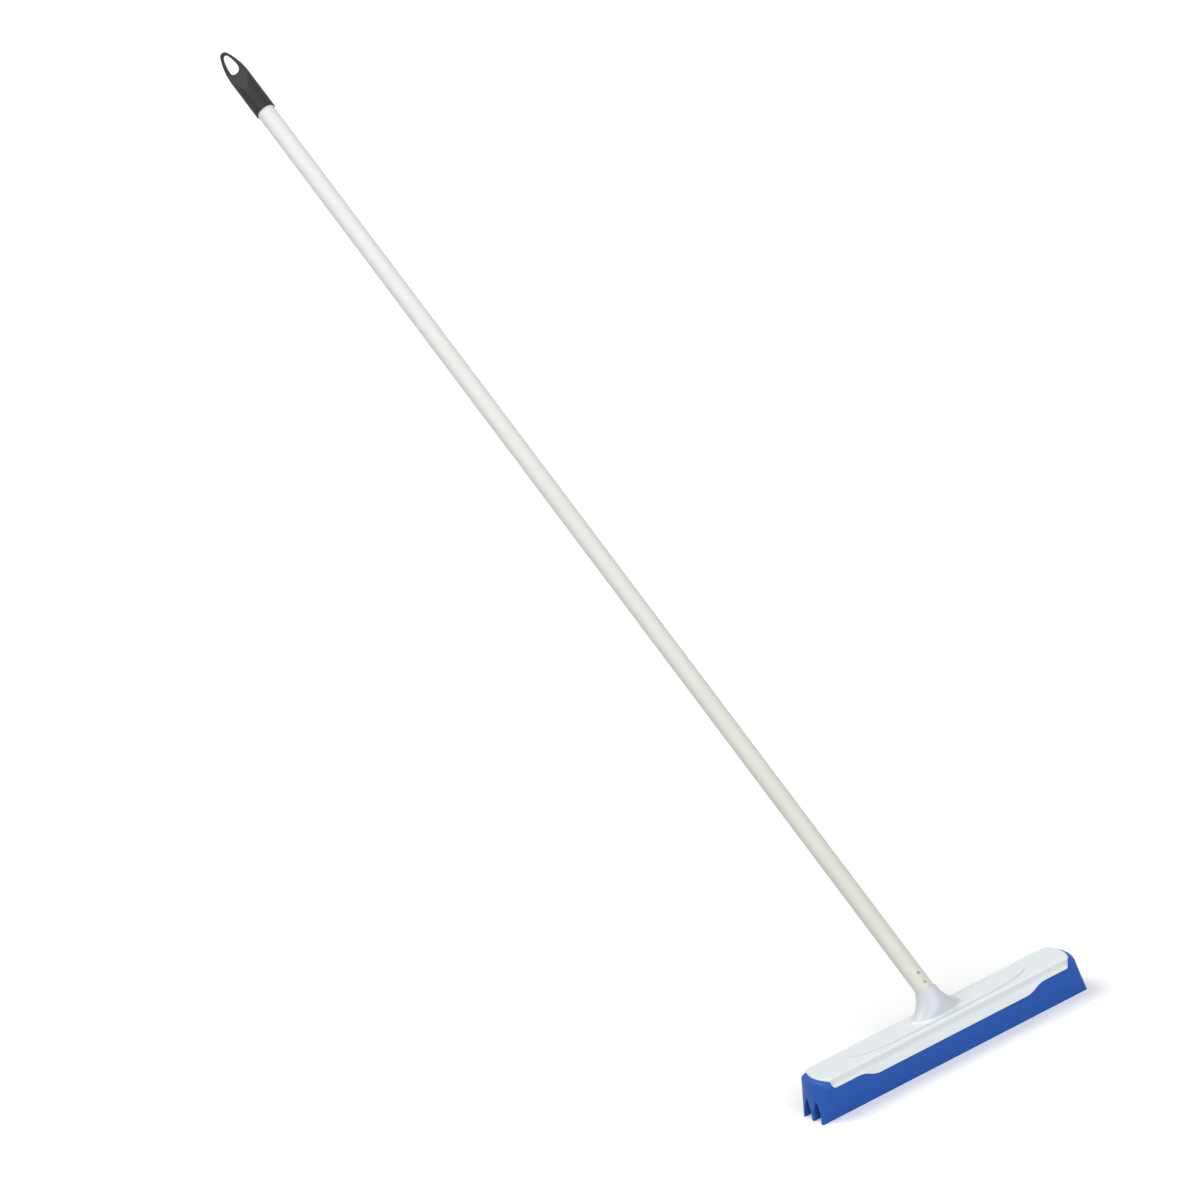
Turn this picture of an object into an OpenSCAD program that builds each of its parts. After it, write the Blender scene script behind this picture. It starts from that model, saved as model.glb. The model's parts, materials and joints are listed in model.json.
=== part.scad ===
// Floor squeegee: a moulded white cover with a leaning screw socket, a blue blade with three lips,
// and a coated steel handle with a threaded ferrule and a hang cap.
// Millimetres, +Z up. The origin is on the floor under the middle lip, +X runs along the blade,
// and the handle leans back towards +Y.

/* [Handle] */
// Outside diameter of the coated tube
tube_d = 22; // [19:0.5:24]
// Wall of the tube, coating included
tube_wall = 0.8; // [0.6:0.1:1.2]
// Length of the tube from end to end
tube_len = 1400; // [600:10:1600]
// Lean of the handle back from upright, in degrees
handle_lean = 50; // [44:1:52]
// Length of tube that sits inside the socket
tube_seat = 8; // [6:1:10]

/* [Crimps] */
// Radius of each punched crimp in the tube
crimp_r = 2; // [1.5:0.1:2.5]
// Depth of a crimp below the tube's surface
crimp_depth = 1.6; // [0.8:0.1:1.8]
// Height of the lower crimp above the socket's rim
crimp_rise = 3.5; // [3:0.5:8]
// Distance between the two crimps along the tube
crimp_pitch = 13; // [10:0.5:18]

/* [Ferrule] */
// Length of the plug inside the tube
plug_len = 36; // [34:1:50]
// Outside diameter of the thread
thread_d = 19.4; // [16:0.2:20]
// Length of the thread below the collar
thread_len = 12; // [8:1:14]
// Room left below the thread in the socket
thread_room = 1; // [0.5:0.5:2]
// Thickness of the collar under the tube's end
collar_h = 2; // [1:0.5:3]
// Bore of the hollow core
core_d = 11; // [8:0.5:12]
// Floor that closes the core at the tip of the thread
core_floor = 4; // [2:0.5:5]
// Lead-in chamfer at the tip of the thread
thread_chamfer = 2; // [1:0.5:3]

/* [Hang cap] */
// Outside diameter of the cap's sleeve
cap_d = 25.4; // [24.6:0.2:28]
// Length of the cap from mouth to tip
cap_len = 94; // [90:1:110]
// Depth of tube inside the sleeve
cap_grip = 38; // [25:1:39]
// Length over which the sides draw in to the tip
cap_taper = 40; // [34:1:44]
// Radius of the tip
cap_tip_r = 5.6; // [5:0.2:6.4]
// Thickness of the flat loop round the eye
loop_t = 5.5; // [5:0.5:8]
// Radius of the hollow that thins the sleeve to the loop
loop_blend_r = 48; // [36:1:60]
// Turn of the cap about the handle, as it was pushed on, in degrees
cap_turn = -40; // [-90:5:90]
// Width of the hang eye
eye_w = 13.4; // [9:0.2:14.6]
// Length of the hang eye
eye_len = 29; // [20:0.5:30]
// Radius of the eye's narrow end
eye_tip_r = 3.2; // [2:0.1:3.6]
// Wall between the eye and the tip
eye_wall = 4; // [3:0.2:6]

/* [Cover] */
// Height of the cover's top above the floor
cover_h = 50.5; // [46:0.5:56]
// Length of the top plate at its corners
cover_len = 338; // [300:1:350]
// Bulge of the rounded ends past the corners
end_bulge = 6.5; // [4:0.5:9]
// Width of the top plate
plate_w = 46; // [42:0.5:52]
// Thickness of the top plate
plate_t = 3; // [2:0.5:4]
// Rounding of the top edge
edge_r = 2.2; // [1:0.2:2.6]
// Height of the hollow band under the top edge
band_h = 12; // [9:0.5:14]
// Spread of each band past the top plate at its lower edge
band_spread = 3; // [1:0.1:4]
// Depth of the hollow in each band
band_sag = 1.4; // [0.4:0.1:1.8]
// Flat left above and below that hollow
band_land = 0.8; // [0.4:0.1:1.5]
// Rounding of the lower corners at the ends
band_corner_r = 4; // [2:0.5:6]
// Depth of the apron below the band, in the middle
apron_h = 7.5; // [5:0.5:12]
// Length of the apron's straight lower edge
apron_len = 204; // [140:2:230]
// Length of the sweep at each end of the apron
sweep_len = 30; // [24:1:40]
// Thickness of the skirt
skirt_t = 3; // [2:0.2:3.4]

/* [Panel] */
// Length of the raised leaf-shaped panel
panel_len = 246; // [180:2:280]
// Width of the panel at the neck
panel_w = 33; // [28:0.5:36]
// Height of the panel above the plate
panel_h = 1.2; // [0.4:0.1:1.6]
// Power that shapes the panel's ends, low for blunter ends
panel_power = 0.62; // [0.5:0.02:1]

/* [Neck] */
// Outside diameter at the rim
neck_d = 25.3; // [24.8:0.1:28]
// Distance of the rim from the plate along the handle's axis
neck_len = 40; // [38:0.5:48]
// Place where the handle's axis meets the top plate, front to back
axis_y = -15; // [-16:0.5:-9]
// Lean of the rim's plane, in degrees
rim_lean = 30; // [26:1:45]
// Half length of the flared foot along the head
foot_rx = 34; // [26:0.5:38]
// Half width of the foot across the head
foot_ry = 17; // [15:0.2:18]
// Middle of the foot, front to back
foot_y = 1.5; // [0:0.1:3]
// Width of the flare at each end of the foot
flare_w = 6; // [4:0.5:16]
// Height at which the neck's front begins to turn into the foot
flare_rise = 7; // [3:0.5:12]
// Pull of the handle's axis on the neck's front line below the rim
front_run = 26; // [22:1:30]
// Pull of the handle's axis on the neck's rear line
rear_run = 4; // [2:1:14]

/* [Keel] */
// Length of the keel that holds the blade
keel_len = 290; // [200:5:300]
// Thickness of the keel's web
keel_t = 3; // [2:0.5:4]
// Depth of the keel below the plate, to the middle of its bead
keel_h = 9; // [7:0.5:10]
// Radius of the bead along the keel
bead_r = 2.8; // [2.2:0.1:3.4]

/* [Blade] */
// Length at the tips of the lips
blade_len = 374; // [366:1:470]
// Width across the lip tips
tip_w = 39.5; // [36:0.5:44]
// Step of each long side in from the apron above it
apron_step = 0.8; // [0.5:0.1:1.2]
// Height of the shoulders at the ends
shoulder_h = 48.5; // [44:0.5:50]
// Rounding of the shoulders
shoulder_r = 8; // [5:0.5:10]
// Ledge of the shoulder past each rounded end of the cover
ledge_w = 5.5; // [3:0.5:8]
// Rounding of the shoulder's upright corners
shoulder_corner_r = 6; // [3:0.5:9]
// Rounding of the upright corners at the floor
corner_r = 2.5; // [1:0.5:4]
// Thickness of a lip at its tip
lip_t = 3.4; // [2:0.2:4]
// Depth of the two slots between the lips
slot_h = 24.5; // [18:0.5:27]
// Radius at the top of a slot
slot_tip_r = 1.3; // [0.8:0.1:2]

/* [Fits] */
// Gap round pieces that are pressed together
fit_gap = 0.15; // [0.05:0.05:0.3]
// Gap round pieces that unscrew
run_gap = 0.3; // [0.2:0.05:0.5]
// Gap between the tube and the ferrule's plug
plug_gap = 0.1; // [0.05:0.05:0.2]

/* [Hidden] */
$fn = 96;
eps = 0.01;
far = 60;
panel_steps = 40;
neck_sides = 56;
neck_steps = 14;
// The neck's foot stands this far above the panel so that the two never share a face
foot_lift = 0.1;
// Small offset that keeps the cap's cuts from running tangent to its sleeve and to each other
cap_ease = 0.3;
// Hair by which outlines cross where they would otherwise only touch
tip_ease = 0.04;
// Thickness of the slabs that carry the blade's hull
slab = 0.5;
shoulder_steps = 6;

white = "#e3e9ec";
blue = "#2f57a8";
cream = "#e6e6df";
black = "#333331";
grey = "#b9bdbd";

// Stations along the handle's axis, counted from the top plate
tube_s = neck_len - tube_seat;
step_s = tube_s - collar_h;
socket_s = step_s - thread_len - thread_room;
cap_s = tube_s + tube_len - cap_grip;

// Station of the middle of the eye's wide end, counted from the cap's mouth
eye_s = cap_len - eye_wall - eye_len + eye_w / 2;

// Radii along the handle
tube_r = tube_d / 2;
tube_in_r = tube_r - tube_wall;
plug_r = tube_in_r - plug_gap;
thread_r = thread_d / 2;
neck_r = neck_d / 2;
cap_r = cap_d / 2;
crimp_stations = [neck_len + crimp_rise, neck_len + crimp_rise + crimp_pitch];
crimp_centre_r = tube_r + crimp_r - crimp_depth;
crimp_groove_r = crimp_centre_r - crimp_r - tube_wall - run_gap;
crimp_groove_w = 2 * (crimp_r + tube_wall + run_gap);

// Heights and half widths of the cover's section
plate_y = plate_w / 2;
band_y = plate_y + band_spread;
band_z = cover_h - band_h;
apron_z = band_z - apron_h;
shoulder_y = band_y - apron_step;
ceiling_z = cover_h - plate_t;

// The rounded end in plan is an arc through both corners of the plate
end_r = (plate_y * plate_y + end_bulge * end_bulge) / (2 * end_bulge);
end_x = cover_len / 2 + end_bulge - end_r;
band_end_x = end_x + sqrt(end_r * end_r - band_y * band_y);

// Each end of the apron sweeps up in two equal arcs that meet halfway
sweep_r = (sweep_len * sweep_len + apron_h * apron_h) / (4 * apron_h);
sweep_x = apron_len / 2;

// Places children on the handle's axis at a station
module on_axis(s = 0)
  translate([0, axis_y, cover_h]) rotate([-handle_lean, 0, 0]) translate([0, 0, s]) children();

// Extrudes an outline drawn across the head, y then z, along the head
module along_head(len) rotate([90, 0, 90]) linear_extrude(len, center = true) children();

// Extrudes an outline drawn along the head, x then z, across the head
module across_head(w) rotate([90, 0, 0]) linear_extrude(w, center = true) children();

// Pointed arch of half width w whose sides are arcs that run smoothly into a round tip
function arch_r(w, len, r) = ((len - r) * (len - r) / (w - r) + w + r) / 2;
module pointed_arch(w, len, r) {
  big = arch_r(w, len, r);
  translate([0, len - r]) circle(r + tip_ease);
  intersection() {
    translate([-w, 0]) square([2 * w, (len - r) * big / (big - r)]);
    translate([w - big, 0]) circle(big);
    translate([big - w, 0]) circle(big);
  }
}

// Section of the cover's outside across the head
module cover_section() {
  rim = [plate_y, cover_h - edge_r];
  band = [band_y, band_z];
  half = [[band_y, apron_z], band, rim, [plate_y, cover_h]];
  run = norm(band - rim);
  way = (band - rim) / run;
  chord = run - 2 * band_land;
  cove_r = (chord * chord / 4 + band_sag * band_sag) / (2 * band_sag);
  difference() {
    polygon(concat(half, [for (i = [3:-1:0]) [-half[i][0], half[i][1]]]));
    for (side = [0, 1]) mirror([side, 0]) {
      translate(rim - [edge_r, 0]) difference() {
        square(edge_r + eps);
        circle(edge_r);
      }
      translate((rim + band) / 2 + [-way[1], way[0]] * (cove_r - band_sag)) circle(cove_r);
    }
  }
}

// Plan of the cover: straight sides, and ends that bulge and are grown by g
module cover_plan(g = 0) {
  square([2 * end_x, far], center = true);
  for (side = [0, 180]) rotate(side) translate([-end_x, 0]) circle(end_r + g);
}

// Front outline of the cover, grown by g: a band along the head, and an apron in the middle
module cover_front(g = 0) {
  half = band_end_x + g;
  low = band_z - g;
  translate([-half - far, low + band_corner_r]) square([2 * (half + far), band_h + far]);
  translate([-half + band_corner_r, low]) square([2 * (half - band_corner_r), band_h]);
  for (side = [-1, 1])
    translate([side * (half - band_corner_r), low + band_corner_r]) circle(band_corner_r);
  apron_front(g);
}

// Apron with ends that sweep up to the band
module apron_front(g = 0) {
  low = apron_z - g;
  top = band_z - g;
  halfway = (low + top) / 2;
  outer_x = sweep_x + g + sweep_len;
  inner_x = sweep_x + g;
  mid_x = inner_x + sweep_len / 2;
  difference() {
    union() {
      polygon([[-outer_x, top + 1], [-outer_x, top], [-mid_x, halfway], [-inner_x, low],
               [inner_x, low], [mid_x, halfway], [outer_x, top], [outer_x, top + 1]]);
      intersection() {
        for (side = [-1, 1]) translate([side * inner_x, low + sweep_r]) circle(sweep_r);
        translate([-far * 4, low]) square([far * 8, apron_h]);
      }
    }
    for (side = [-1, 1]) translate([side * outer_x, top - sweep_r]) circle(sweep_r);
  }
}

// Outside of the cover where its section, plan and front meet
module cover_outside() intersection() {
  along_head(2 * (end_x + end_r + far)) cover_section();
  linear_extrude(cover_h + 1) cover_plan();
  across_head(2 * far) cover_front();
}

// Hollow under the cover, its sides drawn in by g, open below
module cover_hollow(g = 0) intersection() {
  along_head(2 * (end_x + end_r)) {
    top = plate_y - skirt_t - g;
    low = band_y - skirt_t - g;
    polygon([[-low, apron_z - far], [low, apron_z - far], [low, band_z], [top, ceiling_z],
             [-top, ceiling_z], [-low, band_z]]);
  }
  linear_extrude(cover_h) {
    square([2 * end_x, far], center = true);
    for (side = [0, 180]) rotate(side) translate([-end_x, 0]) circle(end_r - skirt_t - g);
  }
}

// Keel under the plate: a web with a round bead along its foot
module keel(g = 0) along_head(keel_len + 2 * g) {
  translate([-keel_t / 2 - g, ceiling_z - keel_h]) square([keel_t + 2 * g, keel_h + plate_t / 2]);
  translate([0, ceiling_z - keel_h]) circle(bead_r + g);
}

// Leaf-shaped panel: its half width falls off from the neck to the two ends
function panel_y(u) = panel_w / 2 * pow(1 - pow(u, 4), panel_power);
module panel() {
  n = panel_steps;
  us = [for (i = [-n:n]) sin(90 * i / n)];
  translate([0, 0, ceiling_z]) linear_extrude(plate_t + panel_h)
    polygon(concat([for (u = us) [u * panel_len / 2, -panel_y(u)]],
                   [for (i = [2 * n - 1:-1:1]) [us[i] * panel_len / 2, panel_y(us[i])]]));
}

// The neck is a loft from a round rim to a flared oval foot. Each of its lines is a cubic curve that leaves
// the rim along the handle's axis and lands on the foot level with the plate at the ends of the flare.
function axis_point(s, x, n) = [
  x,
  axis_y + s * sin(handle_lean) - n * cos(handle_lean),
  cover_h + s * cos(handle_lean) + n * sin(handle_lean)];
function rim_s(a) = neck_len - tan(handle_lean - rim_lean) * neck_r * cos(a);
function neck_top(a, drop = 0) = axis_point(rim_s(a) - drop, neck_r * sin(a), neck_r * cos(a));
function foot(a, draw = 0, rise = 0) = [
  (foot_rx - draw) * sin(a),
  foot_y - foot_ry * cos(a),
  cover_h + panel_h + foot_lift + rise * cos(a) * cos(a)];
function cubic(t, p, q, r, s) =
  pow(1 - t, 3) * p + 3 * t * pow(1 - t, 2) * q + 3 * t * t * (1 - t) * r + pow(t, 3) * s;
function line_run(a) = rear_run + (front_run - rear_run) * pow((1 + cos(a)) / 2, 2);
function neck_point(t, a) =
  cubic(t, neck_top(a), neck_top(a, line_run(a)), foot(a, flare_w, flare_rise), foot(a));
function sunk(p) = [p[0], p[1], ceiling_z + plate_t / 2];
module neck() {
  n = neck_sides;
  turns = [for (k = [0:n - 1]) 360 * k / n];
  lofted = [for (i = [0:neck_steps]) for (a = turns) neck_point(i / neck_steps, a)];
  walls = [for (i = [0:neck_steps]) for (k = [0:n - 1])
    let (m = (k + 1) % n, low = i * n, high = low + n)
    each [[low + k, low + m, high + m], [low + k, high + m, high + k]]];
  lid = [for (k = [n - 1:-1:0]) k];
  base = [for (k = [0:n - 1]) (neck_steps + 1) * n + k];
  polyhedron(concat(lofted, [for (a = turns) sunk(foot(a))]), concat(walls, [lid, base]));
}

// Counterbore for the tube and collar, and the bore for the thread
module socket() {
  on_axis(step_s) cylinder(r = tube_r + run_gap, h = neck_len - step_s + neck_r);
  on_axis(socket_s) cylinder(r = thread_r + run_gap, h = step_s - socket_s + eps);
}

// Moulded cover with its panel, neck and keel
module head_cover() color(white) difference() {
  union() {
    difference() {
      cover_outside();
      cover_hollow();
    }
    panel();
    keel();
    neck();
  }
  socket();
}

// Plan of the blade at its shoulders: the cover's plan grown by the ledge with rounded corners, then
// drawn in by inset
module shoulder_plan(inset) offset(r = shoulder_corner_r) offset(delta = -shoulder_corner_r - inset)
  intersection() {
    cover_plan(ledge_w);
    square([cover_len + 2 * far, 2 * shoulder_y], center = true);
  }

// The blade's block: a drafted bar, square at the floor, with round shoulders that follow the cover's ends
module blade_block() {
  floor_x = blade_len / 2 - corner_r;
  floor_y = tip_w / 2 - corner_r;
  hull() {
    for (sx = [-1, 1]) for (sy = [-1, 1])
      translate([sx * floor_x, sy * floor_y, 0]) cylinder(r = corner_r, h = slab, $fn = 32);
    for (k = [0:shoulder_steps]) let (a = 90 * k / shoulder_steps)
      translate([0, 0, shoulder_h - slab - shoulder_r * (1 - sin(a))])
        linear_extrude(slab) shoulder_plan(shoulder_r * (1 - cos(a)));
  }
}

// Room that the cover takes in the blade: all that lies under its plan and front, except its hollow
module cover_room() difference() {
  intersection() {
    linear_extrude(cover_h + 1) cover_plan(fit_gap);
    across_head(2 * far) cover_front(fit_gap);
  }
  cover_hollow(fit_gap);
}

// Slots between the lips, each a pointed arch open to the floor
module slots() {
  w = (tip_w - 3 * lip_t) / 4;
  along_head(blade_len + far) for (side = [-1, 1]) translate([side * (lip_t / 2 + w), 0]) {
    pointed_arch(w, slot_h, slot_tip_r);
    translate([-w, -1]) square([2 * w, 1 + eps]);
  }
}

// Soft blade, pressed up into the cover and over its keel
module blade() color(blue) difference() {
  blade_block();
  slots();
  cover_room();
  keel(fit_gap);
}

// Plug with a collar and a thread, grooved where the tube is crimped into it
module thread_ferrule() color(grey) on_axis(step_s) difference() {
  rotate_extrude() difference() {
    union() {
      translate([0, -thread_len]) square([thread_r, thread_len + eps]);
      square([tube_r, collar_h]);
      translate([0, collar_h - eps]) square([plug_r, plug_len + eps]);
    }
    translate([thread_r, -thread_len]) rotate(45) square(thread_chamfer * sqrt(2), center = true);
    for (s = crimp_stations) translate([crimp_groove_r, s - step_s - crimp_groove_w / 2])
      square([far, crimp_groove_w]);
  }
  translate([0, 0, core_floor - thread_len]) cylinder(d = core_d, h = thread_len + collar_h + plug_len);
}

// Punched crimps stand in two pairs, one pair on the front of the tube and one behind
module at_crimps() for (s = crimp_stations) for (side = [0, 180])
  rotate(side) translate([0, -crimp_centre_r, s - tube_s]) children();

// Coated steel tube, dented inwards at each crimp
module handle_tube() color(cream) on_axis(tube_s) difference() {
  union() {
    difference() {
      cylinder(r = tube_r, h = tube_len);
      translate([0, 0, -1]) cylinder(r = tube_in_r, h = tube_len + 2);
    }
    intersection() {
      at_crimps() sphere(crimp_r + tube_wall);
      cylinder(r = tube_r - eps, h = tube_len);
    }
  }
  at_crimps() sphere(crimp_r);
}

// Egg-shaped eye: a round end that runs into a narrow one
module eye() {
  circle(eye_w / 2 + tip_ease);
  pointed_arch(eye_w / 2, eye_len - eye_w / 2, eye_tip_r);
}

// All that lies outside the cap's front outline, which draws in to a round tip
module cap_outline_cut() rotate([90, 0, 0]) linear_extrude(2 * cap_d, center = true)
  translate([0, cap_len - cap_taper]) difference() {
    translate([-cap_d, 1]) square([2 * cap_d, 2 * cap_taper]);
    pointed_arch(cap_r + cap_ease, cap_taper, cap_tip_r);
  }

// Hollows that thin the sleeve to a flat loop from both faces
module cap_flats_cut() for (side = [0, 180]) rotate(side) translate([0, loop_t / 2, eye_s]) {
  translate([0, loop_blend_r - cap_ease, 0])
    rotate([0, 90, 0]) cylinder(r = loop_blend_r, h = 2 * cap_d, center = true);
  translate([-cap_d, 0, 0]) cube(2 * cap_d);
}

// Cap that grips the tube's top end and ends in a loop to hang it by
module hang_cap() color(black) on_axis(cap_s) rotate(cap_turn) difference() {
  cylinder(r = cap_r, h = cap_len + 1);
  cap_outline_cut();
  cap_flats_cut();
  translate([0, 0, -1]) cylinder(r = tube_r + fit_gap, h = cap_grip + 1);
  translate([0, 0, eye_s]) rotate([90, 0, 0]) linear_extrude(2 * cap_d, center = true) eye();
}

head_cover();
blade();
thread_ferrule();
handle_tube();
hang_cap();
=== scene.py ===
"""Looks of a floor squeegee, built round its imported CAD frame.

All lengths are in metres, in the CAD's own frame."""

import json
import math

import bmesh
import bpy
import numpy as np
from bpy.props import FloatProperty, FloatVectorProperty, PointerProperty
from mathutils import Matrix, Vector


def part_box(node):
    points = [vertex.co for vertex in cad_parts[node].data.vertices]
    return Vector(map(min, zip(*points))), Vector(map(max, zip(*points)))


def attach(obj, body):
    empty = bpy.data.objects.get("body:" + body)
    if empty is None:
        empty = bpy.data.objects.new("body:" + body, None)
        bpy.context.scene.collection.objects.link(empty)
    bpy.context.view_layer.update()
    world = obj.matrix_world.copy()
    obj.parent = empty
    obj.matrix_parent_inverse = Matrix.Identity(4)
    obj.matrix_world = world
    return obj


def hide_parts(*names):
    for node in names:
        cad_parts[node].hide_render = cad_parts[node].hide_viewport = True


bl_info = {
    "name": "Floor squeegee",
    "version": (1, 0, 0),
    "blender": (4, 5, 0),
    "location": "3D View > Sidebar > Squeegee",
    "description": "Builds a floor squeegee with a soft blade and a screwed handle",
    "category": "Object",
}

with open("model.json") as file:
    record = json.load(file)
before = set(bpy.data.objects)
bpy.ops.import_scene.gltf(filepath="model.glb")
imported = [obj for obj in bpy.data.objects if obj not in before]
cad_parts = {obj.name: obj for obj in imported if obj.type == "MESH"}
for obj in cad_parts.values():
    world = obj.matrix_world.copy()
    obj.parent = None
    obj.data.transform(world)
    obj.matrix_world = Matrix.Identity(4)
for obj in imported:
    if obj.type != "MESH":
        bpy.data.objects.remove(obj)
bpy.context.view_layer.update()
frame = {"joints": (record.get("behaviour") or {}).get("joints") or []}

MM = 0.001
TAU = 2 * math.pi
# Points closer than this are welded into one
WELD = 1e-7
# Hair by which hidden faces stay clear of their neighbours
HAIR = 0.02 * MM
UP = (0, 0, 1)
# The handle's axis, its foot on the plate, the directions across it and its lean from upright
SCREW = {joint["name"]: joint for joint in frame["joints"]}["handle_turn"]
AXIS = np.array(SCREW["axis"]) / np.linalg.norm(SCREW["axis"])
FOOT = np.array(SCREW["pos_m"])
SIDEWAYS = np.array([1.0, 0.0, 0.0])
DOWN_BACK = np.cross(AXIS, SIDEWAYS)
LEAN = math.acos(AXIS[2])
BLADE_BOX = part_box("blade")


# Sizes and colours that a user would change

def linear(code):
    """Turns an sRGB hex code into linear red, green and blue, by the sRGB curve."""
    parts = [int(code[i:i + 2], 16) / 255 for i in (1, 3, 5)]
    return tuple(c / 12.92 if c <= 0.04045 else ((c + 0.055) / 1.055) ** 2.4 for c in parts)


def length(name, text, mm):
    """A length property whose default is given in millimetres."""
    return FloatProperty(name=name, description=text, default=mm * MM, min=0.0, unit="LENGTH")


def angle(name, text, degrees):
    """An angle property whose default is given in degrees."""
    return FloatProperty(name=name, description=text, default=math.radians(degrees), unit="ROTATION")


def number(name, text, value):
    """A property that is a plain number."""
    return FloatProperty(name=name, description=text, default=value)


def colour(name, text, code):
    """A colour property whose default is given as an sRGB hex code."""
    return FloatVectorProperty(name=name, description=text, subtype="COLOR", min=0.0, max=1.0,
                               default=linear(code))


class CoverSizes(bpy.types.PropertyGroup):
    """Sizes and colours of the moulded cover."""
    top: length("Height", "Height of the plate's top above the floor", FOOT[2] / MM)
    plate_w: length("Plate width", "Width of the top plate", 46)
    plate_t: length("Plate thickness", "Thickness of the top plate", 3)
    corner_x: length("Corner", "Distance of the plate's corners from the middle", 169)
    end_bulge: length("End bulge", "Bulge of the rounded ends past the corners", 6.5)
    plan_corner: length("Plan corner", "Rounding of the plate's corners in plan", 7)
    edge_r: length("Top edge", "Rounding of the top edge", 2.2)
    band_h: length("Band height", "Height of the hollow band under the top edge", 12)
    skirt_spread: length("Skirt spread", "How far the apron's lower edge stands out past the plate", 3)
    band_sag: length("Band hollow", "Depth of the hollow in each band", 1.1)
    band_lip: length("Band lip", "How far the band's foot turns out where no apron hangs below it", 1.9)
    band_corner: length("Band corner", "Rounding of the band's lower corners", 4)
    apron_h: length("Apron depth", "Depth of the apron below the band", 7.5)
    apron_len: length("Apron length", "Length of the apron's straight lower edge", 204)
    sweep_len: length("Sweep", "Length of the sweep at each end of the apron", 30)
    apron_round: length("Apron rounding", "Rounding of the apron's lower edge", 0.5)
    skirt_t: length("Skirt thickness", "Thickness of the skirt", 3)
    panel_len: length("Panel length", "Length of the raised leaf-shaped panel", 246)
    panel_w: length("Panel width", "Width of the panel at the neck", 33)
    panel_h: length("Panel height", "Height of the panel above the plate", 1.2)
    panel_step: length("Panel step", "Width of the steep step round the panel", 0.15)
    neck_d: length("Neck diameter", "Outside diameter at the rim", 25.3)
    neck_len: length("Neck length", "Distance of the rim from the plate along the handle", 40)
    rim_lean: angle("Rim lean", "Lean of the rim's plane", 30)
    rim_round: length("Rim rounding", "Rounding of the rim's outer edge", 0.5)
    foot_rx: length("Foot length", "Half length of the neck's foot along the head, fillet apart", 33)
    foot_ry: length("Foot width", "Half width of the neck's foot across the head, fillet apart", 15.2)
    foot_y: length("Foot place", "Middle of the foot, front to back", 1.5)
    flare_w: length("Flare", "Width of the flare at each end of the foot", 6)
    flare_rise: length("Flare rise", "Height at which the neck's front begins to turn into the foot", 7)
    front_run: length("Front run", "Pull of the handle's axis on the neck's front line", 26)
    rear_run: length("Rear run", "Pull of the handle's axis on the neck's rear line", 4)
    fillet: length("Fillet", "Height of the fillet round the foot", 1.4)
    socket_d: length("Socket", "Diameter of the socket for the tube", 22.6)
    socket_s: length("Socket step", "Station of the step in the socket", 30)
    thread_bore: length("Thread bore", "Diameter of the bore for the thread", 20)
    thread_s: length("Thread floor", "Station of the thread bore's floor", 17)
    colour: colour("Colour", "Cool white of the moulding", "#e4eaed")
    # Painted shade: this greyer white stands in for the shade on the neck
    neck_shade_colour: colour("Neck colour", "Greyer white of the thick neck", "#cbd1d6")
    # Painted shade: this grey darkens the step round the panel, where shade falls
    step_shade_colour: colour("Dust colour", "Grey of the dust on the step round the panel", "#c4cacd")


class BladeSizes(bpy.types.PropertyGroup):
    """Sizes and colours of the soft blade."""
    reach: length("Length", "Length at the tips of the lips", (BLADE_BOX[1].x - BLADE_BOX[0].x) / MM)
    tip_w: length("Tip width", "Width across the lip tips", 39.5)
    apron_step: length("Apron step", "Step of each long side in from the apron above it", 0.8)
    shoulder_h: length("Shoulder height", "Height of the shoulders at the ends", 48.5)
    shoulder_r: length("Shoulder rounding", "Rounding of the shoulders", 8)
    ledge: length("Ledge", "Ledge of the shoulder past the end of the cover", 7)
    shoulder_corner: length("Shoulder corner", "Rounding of the shoulder's upright corners", 6)
    tip_corner: length("Tip corner", "Rounding of the upright corners at the floor", 2.5)
    lip_t: length("Lip", "Thickness of a lip at its tip", 3.4)
    slot_h: length("Slot depth", "Depth of the two slots between the lips", 24.5)
    slot_tip: length("Slot tip", "Radius at the top of a slot", 1.3)
    colour: colour("Colour", "Blue of the rubber", "#2257af")


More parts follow.
